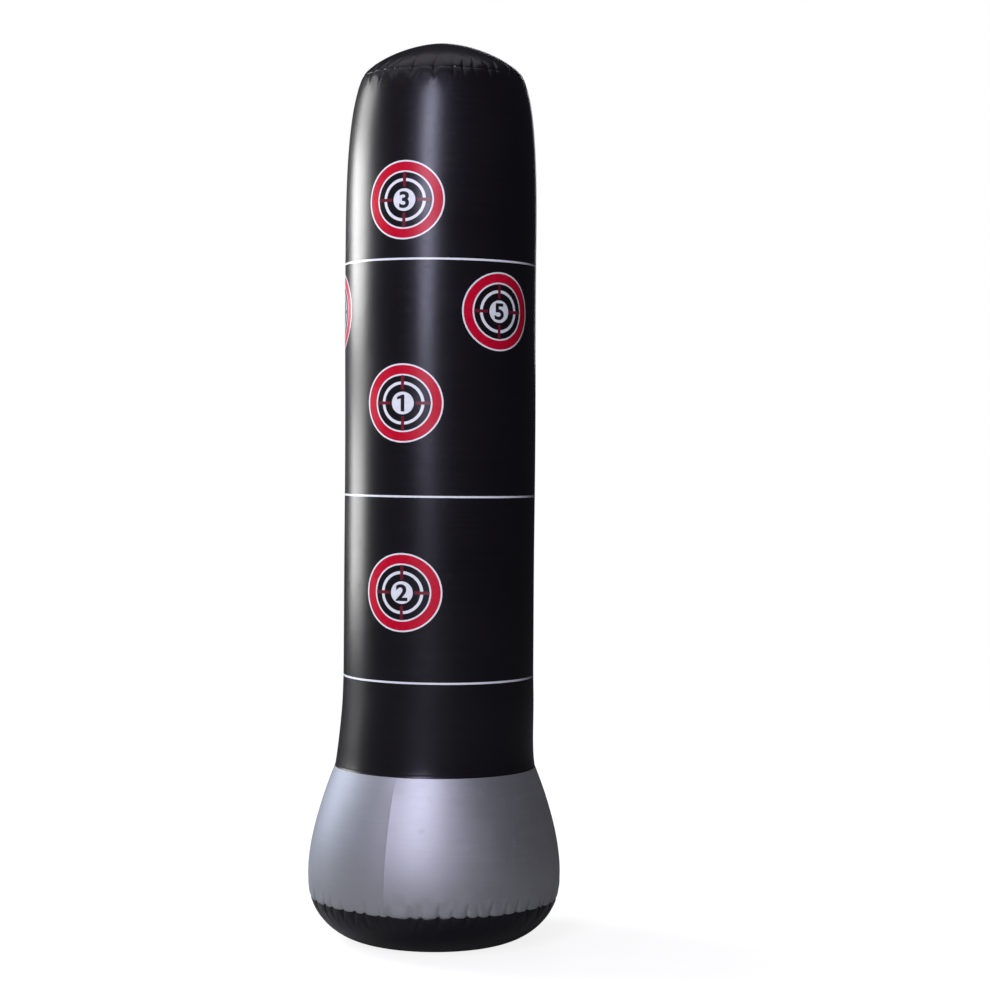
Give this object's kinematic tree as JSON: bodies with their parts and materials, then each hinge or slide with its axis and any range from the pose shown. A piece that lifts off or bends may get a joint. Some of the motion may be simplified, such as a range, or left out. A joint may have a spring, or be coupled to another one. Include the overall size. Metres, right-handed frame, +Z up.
{
  "type": "free standing bag",
  "caption": "Tall inflatable boxing bag: a black column with printed round targets on a wider grey base weighed down with water.",
  "frame": {"origin": "centre of the flat patch that the bag stands on", "axes": "+Z up along the column; -Y towards the front, where the middle row of targets and the base's front seam are; the two valves face +Y"},
  "size_m": [0.4402, 0.4507, 1.558],
  "materials": {
    "black_vinyl": "satin gloss calendered PVC sheet",
    "grey_vinyl": "satin PVC sheet",
    "natural_vinyl": "soft moulded or unprinted PVC",
    "valve_plastic": "moulded black PVC",
    "seal_rubber": "soft matt rubber",
    "water": "clear water"
  },
  "bodies": {
    "base": {"bottom_panel": "black_vinyl", "base_gore_left": "grey_vinyl", "base_gore_right": "grey_vinyl", "base_gore_rear": "grey_vinyl", "chamber_divider": "natural_vinyl", "water_ballast": "water", "water_valve_collar": "natural_vinyl", "water_valve_gasket": "seal_rubber"},
    "neck": {"neck_panel": "black_vinyl"},
    "column": {"column_panel": "black_vinyl", "top_panel": "black_vinyl", "air_valve_collar": "natural_vinyl", "air_valve_gasket": "seal_rubber"},
    "air_leash": {"air_valve_leash": "valve_plastic"},
    "air_cap": {"air_valve_cap": "valve_plastic"},
    "air_flap": {"air_valve_flap": "seal_rubber"},
    "water_leash": {"water_valve_leash": "valve_plastic"},
    "water_cap": {"water_valve_cap": "valve_plastic"}
  },
  "joints": [
    {"name": "lean_fore_aft", "type": "hinge", "parent": "base", "child": "neck", "pos_m": [0, 0, 0.215], "axis": [1, 0, 0], "range_deg": [-25, 25], "stiffness_Nm_per_rad": 40, "deforming": ["neck_panel"]},
    {"name": "lean_sideways", "type": "hinge", "parent": "neck", "child": "column", "pos_m": [0, 0, 0.38], "axis": [0, 1, 0], "range_deg": [-25, 25], "stiffness_Nm_per_rad": 40, "deforming": ["neck_panel"]},
    {"name": "air_leash_rise", "type": "slide", "parent": "column", "child": "air_leash", "axis": [0, 1, 0], "range_m": [0, 0.0045], "deforming": ["air_valve_leash"]},
    {"name": "air_cap_turn", "type": "hinge", "parent": "air_leash", "child": "air_cap", "pos_m": [0, 0.166, 0.6], "axis": [0, 1, 0], "range_deg": [0, 540]},
    {"name": "air_flap_open", "type": "hinge", "parent": "column", "child": "air_flap", "pos_m": [0, 0.1541, 0.6125], "axis": [-1, 0, 0], "range_deg": [0, 35], "stiffness_Nm_per_rad": 0.002},
    {"name": "water_leash_rise", "type": "slide", "parent": "base", "child": "water_leash", "axis": [0, 0.9939, 0.1105], "range_m": [0, 0.0045], "deforming": ["water_valve_leash"]},
    {"name": "water_cap_turn", "type": "hinge", "parent": "water_leash", "child": "water_cap", "pos_m": [0, 0.21804, 0.15], "axis": [0, 0.9939, 0.1105], "range_deg": [0, 540]}
  ],
  "couplings": [
    {"joint": "air_leash_rise", "follows": "air_cap_turn", "m_per_rad": 0.00047746},
    {"joint": "water_leash_rise", "follows": "water_cap_turn", "m_per_rad": 0.00047746}
  ]
}
